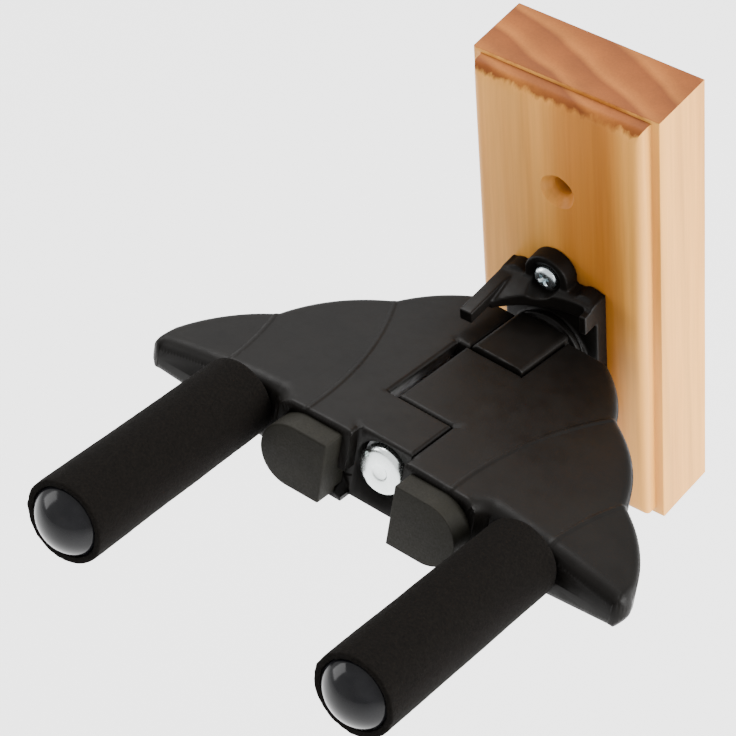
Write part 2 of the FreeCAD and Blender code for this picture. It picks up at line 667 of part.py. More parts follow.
# --- Arms and pads, right side ---

def make_arm_rod():
    bar = rod(ROD_R, ROD, ARM_X)
    return on_arm(bar.cut(upright(PIN_R, TALL, ARM_X, PIN_S)))


def make_arm_pin():
    return on_arm(upright(PIN_R, (PIN_BOTTOM, ROD_R + 1.0), ARM_X, PIN_S))


def make_foam_sleeve():
    """Tapered foam tube with a shallow well at the front for the cap."""
    length = FOAM[1] - FOAM[0]
    outer = Part.makeCone(FOAM_ROOT_R, FOAM_FRONT_R, length, Vector(ARM_X, -FOAM[0], 0),
                          Vector(0, -1, 0))
    well = rod(CAP_R, (FOAM[1] - FOAM_HOLE_DEPTH, FOAM[1] + 1.0), ARM_X)
    return on_arm(outer.cut(rod(ROD_R, (FOAM[0] - 1.0, FOAM[1]), ARM_X)).cut(well))


def make_end_cap():
    """Domed button pushed onto the end of the rod."""
    rise = CAP_FRONT - CAP_RIM
    radius = (CAP_R ** 2 + rise ** 2) / (2 * rise)
    ball = Part.makeSphere(radius, Vector(ARM_X, -(CAP_FRONT - radius), 0))
    dome = ball.common(rod(CAP_R, (CAP_RIM - 0.01, CAP_FRONT + 1.0), ARM_X))
    cap = fuse([rod(CAP_R, (FOAM[1] - FOAM_HOLE_DEPTH, CAP_RIM), ARM_X), dome])
    return on_arm(cap.cut(rod(ROD_R, ROD, ARM_X)))


def make_neck_pad():
    """Rubber bumper with a stem that plugs into the wing."""
    block = pad_block(PAD, 0.0)
    return fuse([block, pad_stem((PAD_STEM_BACK, PAD[0] + 0.5))])


def build():
    """Every node by name."""
    nodes = {
        "wood_block": make_wood_block(),
        "wall_bracket": make_wall_bracket(),
        "bracket_screws": make_bracket_screws()}
    right_shell, right_cover = split_wing(*right_wing_solids())
    left_shell, left_cover = split_wing(*left_wing_solids())
    yoke = {
        "swivel_hub": make_swivel_hub(),
        "axle_bolt": make_axle_bolt(),
        "head_washer": make_head_washer(),
        "knuckle_washer": make_knuckle_washer(),
        "hub_washer": make_hub_washer(),
        "retaining_washer": make_retaining_washer(),
        "lock_nut": make_lock_nut(),
        "torsion_spring": make_torsion_spring(),
        "right_wing_shell": bore_right(right_shell),
        "left_wing_shell": bore_left(mirror(left_shell)),
        "right_wing_cover": right_cover,
        "left_wing_cover": mirror(left_cover),
        "right_bush": make_right_bush(),
        "left_bush": make_left_bush()}
    arm_parts = {
        "cover_screws": make_cover_screws(),
        "arm_rod": make_arm_rod(),
        "arm_pin": make_arm_pin(),
        "foam_sleeve": make_foam_sleeve(),
        "end_cap": make_end_cap(),
        "neck_pad": make_neck_pad()}
    for name, shape in arm_parts.items():
        yoke["right_" + name] = shape
        yoke["left_" + name] = mirror(shape)
    for name, shape in yoke.items():
        nodes[name] = place_on_block(shape)
    return nodes


os.makedirs("parts", exist_ok=True)
for node, solid in build().items():
    solid.exportStep("parts/" + node + ".step")
    print(node, len(solid.Solids), round(solid.Volume, 1), solid.isValid())
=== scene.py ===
import json
import math

import bmesh
import bpy
import numpy as np
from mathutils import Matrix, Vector, geometry, noise

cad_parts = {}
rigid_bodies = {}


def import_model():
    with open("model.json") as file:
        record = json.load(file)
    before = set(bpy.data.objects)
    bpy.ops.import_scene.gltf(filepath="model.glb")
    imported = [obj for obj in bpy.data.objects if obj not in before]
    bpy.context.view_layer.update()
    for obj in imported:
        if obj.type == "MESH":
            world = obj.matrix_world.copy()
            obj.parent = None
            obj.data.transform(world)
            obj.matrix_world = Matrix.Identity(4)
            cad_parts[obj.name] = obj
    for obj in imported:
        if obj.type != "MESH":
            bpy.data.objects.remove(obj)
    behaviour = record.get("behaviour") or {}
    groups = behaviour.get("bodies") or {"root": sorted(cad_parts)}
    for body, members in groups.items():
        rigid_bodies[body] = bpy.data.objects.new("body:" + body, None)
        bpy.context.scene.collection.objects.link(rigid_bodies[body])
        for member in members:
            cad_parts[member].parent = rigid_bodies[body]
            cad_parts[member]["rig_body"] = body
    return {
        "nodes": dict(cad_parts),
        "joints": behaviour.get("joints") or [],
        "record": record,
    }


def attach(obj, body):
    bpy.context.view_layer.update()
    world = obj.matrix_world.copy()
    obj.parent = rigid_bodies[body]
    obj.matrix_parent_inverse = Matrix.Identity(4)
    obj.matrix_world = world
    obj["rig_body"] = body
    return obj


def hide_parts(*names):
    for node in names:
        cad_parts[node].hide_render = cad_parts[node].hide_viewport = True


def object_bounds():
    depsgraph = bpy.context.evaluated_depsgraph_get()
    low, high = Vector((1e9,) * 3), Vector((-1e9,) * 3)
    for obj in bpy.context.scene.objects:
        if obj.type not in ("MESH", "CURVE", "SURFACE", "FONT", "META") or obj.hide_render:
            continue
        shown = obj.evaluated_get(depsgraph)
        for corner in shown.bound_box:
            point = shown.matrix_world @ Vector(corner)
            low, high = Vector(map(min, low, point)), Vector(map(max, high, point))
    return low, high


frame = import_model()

CAD_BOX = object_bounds()
MM = 0.001
WELD = 0.002 * MM         # points of a modelled mesh closer than this are one point

# --- Yoke coordinates: x sideways, s forward along the axle, w up from it, all in millimetres ---
SWIVEL = next(joint for joint in frame["joints"] if joint["name"] == "yoke_swivel")
PIVOT = Vector(SWIVEL["pos_m"])
AXLE = Vector(SWIVEL["axis"])
REST_SWIVEL = math.radians(-4.3)     # the yoke rests with its left side a little up
ARM_DROOP = math.radians(1.8)        # the arms lean down from the axle's direction
ARM_ROOT = 84.0
UP_LEVEL = AXLE.cross(Vector((1, 0, 0)))
SIDE = Vector((1, 0, 0)) * math.cos(REST_SWIVEL) + UP_LEVEL * math.sin(REST_SWIVEL)
UP = UP_LEVEL * math.cos(REST_SWIVEL) - Vector((1, 0, 0)) * math.sin(REST_SWIVEL)


def yoke_rest(x, s, w):
    """Row-frame point, in metres, of a point in yoke coordinates."""
    return PIVOT + (SIDE * x + AXLE * s + UP * w) * MM


def on_arm(x, s, w):
    """Row-frame point of a point drawn on an arm before the arm is leaned down."""
    ahead = s - ARM_ROOT
    return yoke_rest(x, ARM_ROOT + ahead * math.cos(ARM_DROOP) + w * math.sin(ARM_DROOP),
                     w * math.cos(ARM_DROOP) - ahead * math.sin(ARM_DROOP))


# ---------------------------------------------------------------- mesh helpers

# Faces of a box whose eight corners are listed as one ring of four and then the other.
BOX_FACES = ((0, 1, 2, 3), (7, 6, 5, 4), (0, 4, 5, 1), (1, 5, 6, 2), (2, 6, 7, 3), (3, 7, 4, 0))
SQUARE = ((-1, -1), (1, -1), (1, 1), (-1, 1))


def new_object(name, points, faces):
    """Object made of points in metres and faces that index them."""
    mesh = bpy.data.meshes.new(name)
    mesh.from_pydata([tuple(p) for p in points], [], faces)
    mesh.validate()
    mesh.update()
    thing = bpy.data.objects.new(name, mesh)
    bpy.context.scene.collection.objects.link(thing)
    return thing


def clean(thing, merge=0.01 * MM):
    """Merge doubled points and turn every face outwards."""
    work = bmesh.new()
    work.from_mesh(thing.data)
    bmesh.ops.remove_doubles(work, verts=work.verts, dist=merge)
    bmesh.ops.recalc_face_normals(work, faces=work.faces)
    work.to_mesh(thing.data)
    work.free()
    return thing


def smooth(thing, angle):
    """Smooth shading with sharp edges above an angle in degrees."""
    thing.data.shade_smooth()
    thing.data.set_sharp_from_angle(angle=math.radians(angle))
    return thing


def apply_modifiers(thing):
    """Bake an object's modifiers into its mesh."""
    bpy.context.view_layer.update()
    graph = bpy.context.evaluated_depsgraph_get()
    mesh = bpy.data.meshes.new_from_object(thing.evaluated_get(graph))
    thing.modifiers.clear()
    thing.data = mesh
    return thing


def boolean(thing, other, operation, solver="EXACT"):
    """Boolean of two objects, which removes the second one."""
    step = thing.modifiers.new(operation.lower(), "BOOLEAN")
    step.operation = operation
    step.object = other
    step.solver = solver
    apply_modifiers(thing)
    bpy.data.objects.remove(other)
    return thing


def cad_copy(node, name):
    """Free copy of a CAD node's mesh, to be worked into a finer piece."""
    source = frame["nodes"][node]
    mesh = source.data.copy()
    mesh.transform(source.matrix_world)
    mesh.materials.clear()
    thing = bpy.data.objects.new(name, mesh)
    bpy.context.scene.collection.objects.link(thing)
    return clean(thing)


MOULD_SHRINK = 0.07       # keeps the softened edges of the bracket and the hub clear of each other


def moulded(node, name, voxel, passes):
    """CAD node with the soft edges of a moulding: remeshed in small voxels and relaxed."""
    thing = cad_copy(node, name)
    remesh = thing.modifiers.new("voxels", "REMESH")
    remesh.mode = "VOXEL"
    remesh.voxel_size = voxel * MM
    relax = thing.modifiers.new("relax", "SMOOTH")
    relax.factor = 0.5
    relax.iterations = passes
    inward = thing.modifiers.new("inward", "DISPLACE")
    inward.mid_level = 0.0
    inward.strength = -MOULD_SHRINK * MM
    apply_modifiers(thing)
    return smooth(thing, 60.0)


def bevelled(thing, width, segments):
    """Small round on every sharp edge."""
    bevel = thing.modifiers.new("bevel", "BEVEL")
    bevel.width = width * MM
    bevel.segments = segments
    bevel.limit_method = "ANGLE"
    bevel.angle_limit = math.radians(30.0)
    apply_modifiers(thing)
    return thing


def dissolved(thing):
    """Join the flat triangles of a CAD mesh into whole faces."""
    work = bmesh.new()
    work.from_mesh(thing.data)
    bmesh.ops.dissolve_limit(work, angle_limit=math.radians(1.0), verts=work.verts, edges=work.edges)
    work.to_mesh(thing.data)
    work.free()
    return thing


def lathe(name, profile, place, centre_x, steps, wobble=None):
    """Solid of revolution about a line along the axle.

    profile holds (radius, s) pairs in millimetres, and place turns yoke coordinates into a
    row-frame point."""
    points, faces = [], []
    count = len(profile)
    for k in range(steps):
        turn = 2 * math.pi * k / steps
        for row, (radius, s) in enumerate(profile):
            r = radius + (wobble(turn, s, radius) if wobble else 0.0)
            points.append(place(centre_x + r * math.cos(turn), s, r * math.sin(turn)))
    for k in range(steps):
        after = (k + 1) % steps
        for row in range(count - 1):
            faces.append((k * count + row, k * count + row + 1, after * count + row + 1,
                          after * count + row))
    return clean(new_object(name, points, faces), WELD)


# ---------------------------------------------------------------- material helpers

def new_material(name):
    material = bpy.data.materials.new(name)
    material.use_nodes = True
    tree = material.node_tree
    shader = tree.nodes["Principled BSDF"]
    return material, tree, shader


def node(tree, kind, **values):
    made = tree.nodes.new(kind)
    for key, value in values.items():
        setattr(made, key, value)
    return made


def coordinates(tree, scale=(1, 1, 1)):
    """Object coordinates, which are the row frame's metres, stretched by scale."""
    source = node(tree, "ShaderNodeTexCoord")
    mapping = node(tree, "ShaderNodeMapping")
    mapping.inputs["Scale"].default_value = scale
    tree.links.new(source.outputs["Object"], mapping.inputs["Vector"])
    return mapping.outputs["Vector"]


def noise_value(tree, vector, scale, detail=3.0, roughness=0.5):
    texture = node(tree, "ShaderNodeTexNoise")
    texture.inputs["Scale"].default_value = scale
    texture.inputs["Detail"].default_value = detail
    texture.inputs["Roughness"].default_value = roughness
    tree.links.new(vector, texture.inputs["Vector"])
    return texture.outputs["Fac"]


def ramp(tree, value, stops):
    """Colour ramp from (position, colour) stops; a plain number is a grey."""
    made = node(tree, "ShaderNodeValToRGB")
    band = made.color_ramp
    while len(band.elements) < len(stops):
        band.elements.new(0.5)
    for element, (position, colour) in zip(band.elements, stops):
        element.position = position
        rgb = (colour, colour, colour) if isinstance(colour, (int, float)) else colour
        element.color = (*rgb, 1.0)
    tree.links.new(value, made.inputs["Fac"])
    return made.outputs["Color"]


def mix(tree, factor, a, b, blend="MIX"):
    """Mix two colours; factor, a and b are sockets or values."""
    made = node(tree, "ShaderNodeMix", data_type="RGBA", blend_type=blend)
    for socket, value in (("Factor", factor), ("A", a), ("B", b)):
        target = next(i for i in made.inputs if i.name == socket and i.enabled)
        if isinstance(value, bpy.types.NodeSocket):
            tree.links.new(value, target)
        else:
            target.default_value = value if isinstance(value, (int, float)) else (*value, 1.0)
    return next(o for o in made.outputs if o.enabled)


def maths(tree, operation, a, b=0.0):
    """Sum, product and so on of two numbers, each a socket or a value."""
    made = node(tree, "ShaderNodeMath", operation=operation)
    for socket, value in zip(made.inputs, (a, b)):
        if isinstance(value, bpy.types.NodeSocket):
            tree.links.new(value, socket)
        else:
            socket.default_value = value
    return made.outputs["Value"]


def bump(tree, shader, height, distance, strength):
    """Relief of a shader's surface; distance is in metres."""
    made = node(tree, "ShaderNodeBump")
    made.inputs["Strength"].default_value = strength
    made.inputs["Distance"].default_value = distance
    tree.links.new(height, made.inputs["Height"])
    tree.links.new(made.outputs["Normal"], shader.inputs["Normal"])


# ---------------------------------------------------------------- materials

def black_plastic():
    """Fine moulded black plastic with a soft sheen, slightly uneven."""
    material, tree, shader = new_material("black_plastic")
    vector = coordinates(tree)
    cloud = noise_value(tree, vector, 90.0, 4.0)
    colour = ramp(tree, cloud, [(0.3, (0.0026, 0.0021, 0.0017)), (0.7, (0.0044, 0.0036, 0.0029))])
    tree.links.new(colour, shader.inputs["Base Color"])
    grain = noise_value(tree, vector, 2600.0, 2.0)
    rough = ramp(tree, noise_value(tree, vector, 300.0, 3.0), [(0.3, 0.40), (0.7, 0.52)])
    tree.links.new(rough, shader.inputs["Roughness"])
    shader.inputs["Specular IOR Level"].default_value = 0.115
    bump(tree, shader, grain, 0.00004, 0.6)
    return material


def foam():
    """Matt black closed-cell foam."""
    material, tree, shader = new_material("black_foam")
    vector = coordinates(tree)
    cells = noise_value(tree, vector, 1400.0, 4.0, 0.7)
    colour = ramp(tree, cells, [(0.3, (0.0012, 0.0009, 0.0007)), (0.7, (0.0050, 0.0040, 0.0031))])
    tree.links.new(colour, shader.inputs["Base Color"])
    shader.inputs["Roughness"].default_value = 0.95
    shader.inputs["Specular IOR Level"].default_value = 0.07
    bump(tree, shader, cells, 0.0004, 0.8)
    return material


def rubber():
    """Dark olive-grey matt rubber."""
    material, tree, shader = new_material("dark_rubber")
    vector = coordinates(tree)
    cloud = noise_value(tree, vector, 160.0, 4.0)
    colour = ramp(tree, cloud, [(0.3, (0.0062, 0.0055, 0.0034)), (0.7, (0.0092, 0.0083, 0.0053))])
    tree.links.new(colour, shader.inputs["Base Color"])
    grain = noise_value(tree, vector, 1800.0, 3.0)
    tree.links.new(ramp(tree, grain, [(0.3, 0.60), (0.7, 0.75)]), shader.inputs["Roughness"])
    shader.inputs["Specular IOR Level"].default_value = 0.16
    bump(tree, shader, grain, 0.00006, 0.7)
    return material


def gloss():
    """Polished black plastic of the end caps."""
    material, tree, shader = new_material("gloss_cap")
    vector = coordinates(tree)
    smear = noise_value(tree, vector, 220.0, 3.0)
    tree.links.new(ramp(tree, smear, [(0.35, (0.004, 0.004, 0.005)), (0.7, (0.008, 0.008, 0.009))]),
                   shader.inputs["Base Color"])
    tree.links.new(ramp(tree, smear, [(0.3, 0.10), (0.75, 0.20)]), shader.inputs["Roughness"])
    shader.inputs["Specular IOR Level"].default_value = 0.20
    bump(tree, shader, noise_value(tree, vector, 60.0, 1.0), 0.0003, 0.25)
    return material


def metal(name, tint, rough, brush_scale, brush_depth):
    """Plated or drawn metal with fine marks and cloudy reflections."""
    material, tree, shader = new_material(name)
    vector = coordinates(tree)
    marks = noise_value(tree, vector, brush_scale, 5.0, 0.7)
    darker = tuple(0.82 * channel for channel in tint)
    tree.links.new(ramp(tree, marks, [(0.3, darker), (0.7, tint)]), shader.inputs["Base Color"])
    shader.inputs["Metallic"].default_value = 1.0
    polish = ramp(tree, marks, [(0.3, rough * 0.8), (0.7, rough * 1.3)])
    tree.links.new(polish, shader.inputs["Roughness"])
    bump(tree, shader, marks, brush_depth, 0.5)
    return material


RING_TILT = 16.0          # the growth rings cross the block's end at this angle to its width
RING_SPACING = 9.5        # millimetres
PITH_AWAY = 210.0         # distance from the block to the tree's centre
HEART_X = (-8.0, 6.0, 17.0, 23.5)      # the heartwood fades in and out at these places sideways
END_GRAIN_Z = 0.058       # the end grain shows only further than this from the middle, in metres


def wood():
    """Clear-coated softwood: heartwood band, growth rings, pores along the grain, dark end grain."""
    material, tree, shader = new_material("pine_wood")
    source = node(tree, "ShaderNodeTexCoord")
    separate = node(tree, "ShaderNodeSeparateXYZ")
    tree.links.new(source.outputs["Object"], separate.inputs["Vector"])
    x, y, z = separate.outputs
    slow = coordinates(tree, (1, 1, 0.08))
    sway = noise_value(tree, slow, 26.0, 2.0)
    nx = math.sin(math.radians(RING_TILT))
    ny = math.cos(math.radians(RING_TILT))
    px = maths(tree, "ADD", x, nx * PITH_AWAY * MM)
    py = maths(tree, "ADD", y, ny * PITH_AWAY * MM)
    radius = maths(tree, "SQRT", maths(tree, "ADD", maths(tree, "MULTIPLY", px, px),
                                       maths(tree, "MULTIPLY", py, py)))
    lean = maths(tree, "MULTIPLY", z, 0.03)
    swayed = maths(tree, "MULTIPLY", sway, 0.011)
    phase = maths(tree, "DIVIDE", maths(tree, "ADD", maths(tree, "ADD", radius, swayed), lean),
                  RING_SPACING * MM)
    ring = maths(tree, "FRACT", phase)
    across = maths(tree, "ADD", maths(tree, "DIVIDE", x, 60.0 * MM),
                   maths(tree, "MULTIPLY", maths(tree, "SUBTRACT", sway, 0.5), 0.22))
    place = maths(tree, "ADD", across, 0.5)
    stops = [0.5 + edge / 60.0 for edge in HEART_X]
    heart = ramp(tree, place, [(stops[0], 0.0), (stops[1], 0.9), (stops[2], 1.0), (stops[3], 0.0)])
    face = mix(tree, heart, (0.70, 0.325, 0.066), (0.43, 0.155, 0.022))
    rings = ramp(tree, ring, [(0.0, 1.0), (0.55, 1.03), (0.86, 0.86), (1.0, 1.0)])
    face = mix(tree, 0.9, face, rings, "MULTIPLY")
    streak = noise_value(tree, coordinates(tree, (1, 1, 0.03)), 190.0, 3.0, 0.6)
    streaks = ramp(tree, streak, [(0.34, (0.90, 0.84, 0.74)), (0.60, (1.04, 1.04, 1.04))])
    face = mix(tree, 1.0, face, streaks, "MULTIPLY")
    pores = noise_value(tree, coordinates(tree, (1, 1, 0.035)), 900.0, 3.0, 0.6)
    face = mix(tree, 1.0, face, ramp(tree, pores, [(0.30, 0.92), (0.62, 1.02)]), "MULTIPLY")
    end = ramp(tree, ring, [(0.0, (0.30, 0.096, 0.014)), (0.30, (0.22, 0.062, 0.008)),
                            (0.80, (0.165, 0.042, 0.005)), (0.93, (0.27, 0.085, 0.012)),
                            (1.0, (0.30, 0.096, 0.014))])
    speck = noise_value(tree, coordinates(tree), 1500.0, 2.0, 0.7)
    end = mix(tree, 1.0, end, ramp(tree, speck, [(0.3, 0.90), (0.7, 1.05)]), "MULTIPLY")
    blotch = noise_value(tree, coordinates(tree), 75.0, 3.0)
    end = mix(tree, 1.0, end, ramp(tree, blotch, [(0.35, 0.84), (0.65, 1.08)]), "MULTIPLY")
    shape = node(tree, "ShaderNodeNewGeometry")
    facing = node(tree, "ShaderNodeSeparateXYZ")
    tree.links.new(shape.outputs["Normal"], facing.inputs["Vector"])
    upright = maths(tree, "ABSOLUTE", facing.outputs["Z"])
    feather = noise_value(tree, coordinates(tree, (1, 1, 0.25)), 420.0, 3.0, 0.6)
    fray = maths(tree, "MULTIPLY", maths(tree, "SUBTRACT", feather, 0.5), 0.9)
    share = ramp(tree, maths(tree, "ADD", upright, fray), [(0.28, 0.0), (0.58, 1.0)])
    at_ends = maths(tree, "GREATER_THAN", maths(tree, "ABSOLUTE", z), END_GRAIN_Z)
    share = maths(tree, "MULTIPLY", share, at_ends)
    colour = mix(tree, share, face, end)
    tree.links.new(colour, shader.inputs["Base Color"])
    dullness = mix(tree, share, (0.42, 0.42, 0.42), (0.62, 0.62, 0.62))
    tree.links.new(dullness, shader.inputs["Roughness"])
    shader.inputs["Specular IOR Level"].default_value = 0.16
    relief = maths(tree, "ADD", maths(tree, "MULTIPLY", pores, 0.6),
                   maths(tree, "MULTIPLY", speck, 0.4))
    bump(tree, shader, relief, 0.00010, 0.4)
    return material


# ---------------------------------------------------------------- stage, lights, camera

CAMERA_AT = Vector((0.46478, -0.66608, 0.73816))
CAMERA_TURN = (46.07, 3.35, 36.61)
CAMERA_LENS = 197.66
SENSOR = 36.0
LIGHT_AIM = Vector((0.0, -0.09, 0.0))
# Name, place, size in metres and power in watts of each softbox.
SOFTBOXES = (("top_softbox", (-0.55, 0.45, 1.15), (1.0, 0.8), 30.0),
             ("right_softbox", (1.25, 0.30, 0.40), (0.8, 1.0), 44.0),
             ("left_softbox", (-1.2, -0.7, 0.55), (0.6, 0.9), 9.0))
WORLD_STRENGTH = 1.15
FLOOR_BELOW = 0.30        # metres between the object's lowest point and the floor
FLOOR_REACH = 4.0
FLOOR_GLOW = 0.7


def make_camera():
    """The camera that was solved from the block's right angles."""
    data = bpy.data.cameras.new("camera")
    data.lens = CAMERA_LENS
    data.sensor_width = SENSOR
    camera = bpy.data.objects.new("camera", data)
    camera.location = CAMERA_AT
    camera.rotation_euler = [math.radians(angle) for angle in CAMERA_TURN]
    bpy.context.scene.collection.objects.link(camera)
    bpy.context.scene.camera = camera


def make_light(name, place, size, power):
    """Softbox that faces the object."""
    data = bpy.data.lights.new(name, "AREA")
    data.shape = "RECTANGLE"
    data.size, data.size_y = size
    data.energy = power
    light = bpy.data.objects.new(name, data)
    light.location = place
    light.rotation_euler = (LIGHT_AIM - Vector(place)).to_track_quat("-Z", "Y").to_euler()
    bpy.context.scene.collection.objects.link(light)


def make_stage():
    """Pale floor, white surroundings and the softboxes."""
    floor_z = CAD_BOX[0][2] - FLOOR_BELOW
    corners = [(x * FLOOR_REACH, y * FLOOR_REACH, floor_z) for x, y in SQUARE]
    floor = new_object("floor", corners, [(0, 1, 2, 3)])
    material, tree, shader = new_material("pale_floor")
    tint = noise_value(tree, coordinates(tree), 3.0, 2.0)
    tree.links.new(ramp(tree, tint, [(0.2, 0.94), (0.8, 0.96)]), shader.inputs["Base Color"])
    shader.inputs["Roughness"].default_value = 0.9
    shader.inputs["Emission Color"].default_value = (1.0, 1.0, 1.0, 1.0)
    shader.inputs["Emission Strength"].default_value = FLOOR_GLOW
    floor.data.materials.append(material)
    world = bpy.data.worlds.new("studio")
    world.use_nodes = True
    world.node_tree.nodes["Background"].inputs["Color"].default_value = (1.0, 1.0, 1.0, 1.0)
    world.node_tree.nodes["Background"].inputs["Strength"].default_value = WORLD_STRENGTH
    bpy.context.scene.world = world
    for light in SOFTBOXES:
        make_light(*light)


# ---------------------------------------------------------------- wood block

BLOCK_HALF_W = 29.0
BLOCK_HALF_H = 71.5
BLOCK_DEPTH = 26.4
LEDGE_BACK = 21.3
LEDGE_IN = 2.6
FACE_ROUND = 2.6
ARRIS = 0.45
WALL_HOLES = (38.5, -52.0)
# (radius, depth from the front face) pairs.
SINK_PROFILE = ((0, -1), (6.3, -1), (5.4, 0), (4.7, 0.8), (4.1, 1.6), (3.4, 2.4), (2.95, 3.1),
                (2.9, 4.4))
POCKET_PROFILE = ((0, -1), (14.2, -1), (14.0, 0.3), (14.0, 17), (0, 17))
POCKET_Z = -15.0
HOLE_ROUGHNESS = 0.22
UPPER_SCREW = (-1.0, 11.5)         # (x, z) of the bracket's screws
LOWER_SCREW = (0.0, -31.5)


def block_rings():
    """(inset, y) of every ring from the back face to the front face, in millimetres."""
    arris = ARRIS
    rings = [(arris, 0.0), (0.0, -arris)]
    rings += [(0.0, -LEDGE_BACK * k / 6) for k in range(1, 6)]
    rings += [(0.0, -LEDGE_BACK + arris), (arris * 0.3, -LEDGE_BACK + arris * 0.3)]
    rings += [(arris, -LEDGE_BACK)]
    rings += [(LEDGE_IN - 0.3, -LEDGE_BACK), (LEDGE_IN, -LEDGE_BACK - 0.2)]
    rings += [(LEDGE_IN, -LEDGE_BACK - 1.2), (LEDGE_IN, -BLOCK_DEPTH + FACE_ROUND)]
    for k in range(1, 7):
        a = math.radians(15 * k)
        rings.append((LEDGE_IN + FACE_ROUND * (1 - math.cos(a)),
                      -BLOCK_DEPTH + FACE_ROUND * (1 - math.sin(a))))
    return rings


def block_edge(count_x, count_z):
    """Unit positions round a rectangle, counted so that they meet a grid of the same counts."""
    run = [(k / count_x, 0.0) for k in range(count_x)]
    run += [(1.0, k / count_z) for k in range(count_z)]
    run += [(1.0 - k / count_x, 1.0) for k in range(count_x)]
    run += [(0.0, 1.0 - k / count_z) for k in range(count_z)]
    return run


def top_inset(inset):
    """The upper end is worn: its step is shallower and its face falls away in a wider slope."""
    if inset <= ARRIS:
        return inset
    if inset <= LEDGE_IN:
        return ARRIS + (inset - ARRIS) * 0.35
    return ARRIS + (LEDGE_IN - ARRIS) * 0.35 + (inset - LEDGE_IN) * 1.7


def block_surface(inset, y, u, v):
    """A point of the block with the slight unevenness of sanded softwood."""
    x = (2 * u - 1) * (BLOCK_HALF_W - inset)
    z = (inset - BLOCK_HALF_H) * (1 - v) + (BLOCK_HALF_H - top_inset(inset)) * v
    sway = noise.noise(Vector((x * 0.05, y * 0.05, z * 0.02)))
    grain = noise.noise(Vector((x * 0.9, y * 0.9, z * 0.05)))
    wear = 0.05 + 0.03 * sway + 0.03 * grain
    end = min(1.0, max(0.0, (abs(z) - (BLOCK_HALF_H - 9.0)) / 6.0))
    if y < -LEDGE_BACK - 0.5 and z > 0:
        torn = noise.noise(Vector((x * 1.6, 3.0, z * 0.45)))
        wear += 0.22 * end * max(0.0, torn + 0.25)
    shrink_x = 1.0 - wear / BLOCK_HALF_W
    shrink_z = 1.0 - wear / BLOCK_HALF_H
    deep = y + wear if y < -1.0 else y
    return Vector((x * shrink_x, deep, z * shrink_z)) * MM


def block_body():
    count_x, count_z = 34, 84
    run = block_edge(count_x, count_z)
    rings = block_rings()
    points, faces = [], []
    for inset, y in rings:
        points += [block_surface(inset, y, u, v) for u, v in run]
    n = len(run)
    for row in range(len(rings) - 1):
        for k in range(n):
            after = (k + 1) % n
            faces.append((row * n + k, row * n + after, (row + 1) * n + after, (row + 1) * n + k))
    for inset, y in (rings[0], rings[-1]):
        start = len(points)
        for j in range(count_z + 1):
            for i in range(count_x + 1):
                points.append(block_surface(inset, y, i / count_x, j / count_z))
        for j in range(count_z):
            for i in range(count_x):
                a = start + j * (count_x + 1) + i
                faces.append((a, a + 1, a + count_x + 2, a + count_x + 1))
    return clean(new_object("block_body", points, faces), 2 * WELD)


def drill(name, profile, x, z, steps=56, rough=0.0):
    """Cutter turned about a line into the block. profile holds (radius, y) pairs in millimetres."""
    points, faces = [], []
    count = len(profile)
    for k in range(steps):
        turn = 2 * math.pi * k / steps
        for radius, y in profile:
            spot = Vector((math.cos(turn) * 2.3, math.sin(turn) * 2.3, y * 0.8 + z))
            shake = rough * noise.noise(spot)
            r = max(0.0, radius + (shake if radius > 0.1 else 0.0))
            points.append(Vector((x + r * math.cos(turn), y, z + r * math.sin(turn))) * MM)
    for k in range(steps):
        after = (k + 1) % steps
        for row in range(count - 1):
            faces.append((k * count + row, k * count + row + 1, after * count + row + 1,
                          after * count + row))
    return clean(new_object(name, points, faces), WELD)


def build_block():
    """Block with its countersunk wall holes, nut pocket and the bracket screws' pilot holes."""
    block = block_body()
    front = -BLOCK_DEPTH
    sink = [(radius, front + depth) for radius, depth in SINK_PROFILE]
    sink += [(2.9, -0.5), (3.2, 0.4), (3.2, 1.0), (0, 1.0)]
    for z in WALL_HOLES:
        boolean(block, drill("hole", sink, 0, z, rough=HOLE_ROUGHNESS), "DIFFERENCE")
    pocket = [(radius, front + depth) for radius, depth in POCKET_PROFILE]
    boolean(block, drill("pocket", pocket, 0, POCKET_Z), "DIFFERENCE")
    pilot = [(0, front - 1), (2.1, front - 1), (2.05, -10.0), (0, -9.5)]
    for x, z in (UPPER_SCREW, LOWER_SCREW):
        boolean(block, drill("pilot", pilot, x, z, 24), "DIFFERENCE")
    block.name = "wood_block_look"
    return smooth(block, 40.0)


# ---------------------------------------------------------------- wings

WING_TOP = 9.8
FLAT_OUT = 12.0
CROWN_POINTS = ((12.0, 9.8), (46.0, 7.9), (73.6, 3.0))
BELLY_POINTS = ((0.0, -12.8), (12.0, -12.8), (45.0, -9.2), (73.6, -7.0))
FRONT_S = 83.4
LIP_S = 86.0
LIP_OUT = 31.3
SCALLOPS = (((22.3, 12.4), (29.9, 19.4), (36.2, 29.0)),
            ((36.2, 29.0), (48.3, 39.2), (56.5, 54.0)),
            ((56.5, 54.0), (68.0, 64.2), (75.2, 77.6)),
            ((75.2, 77.6), (75.6, 81.6), (72.4, 83.4)))
FEATHERS = (((36.2, 29.0), (26.0, 56.0), (23.0, 86.5)),
            ((56.5, 54.0), (52.9, 69.2), (51.6, 84.0)))
FEATHER_HALF_W = 0.75
FEATHER_RISE = 0.24
FEATHER_STEP = 0.042      # the top falls by this much beyond each feather line
SKIN = (0.06, 0.24)       # depth of the skin under the CAD's top, by the axle and further out
SKIN_FADE = (12.0, 20.0)  # sideways distances between which it goes from one to the other
TIP_FADE = (44.0, 72.0)   # sideways distances between which the edge rounds shrink
TIP_SHARE = 0.8
UNDER_SKIN = 0.4          # the skin lies this far below the CAD's underside, away from its rounds
UNDER_ROUND = 1.2         # the underside's rounds rise this much faster than the top's fall
RIPPLE = 0.015            # unevenness of the moulded top
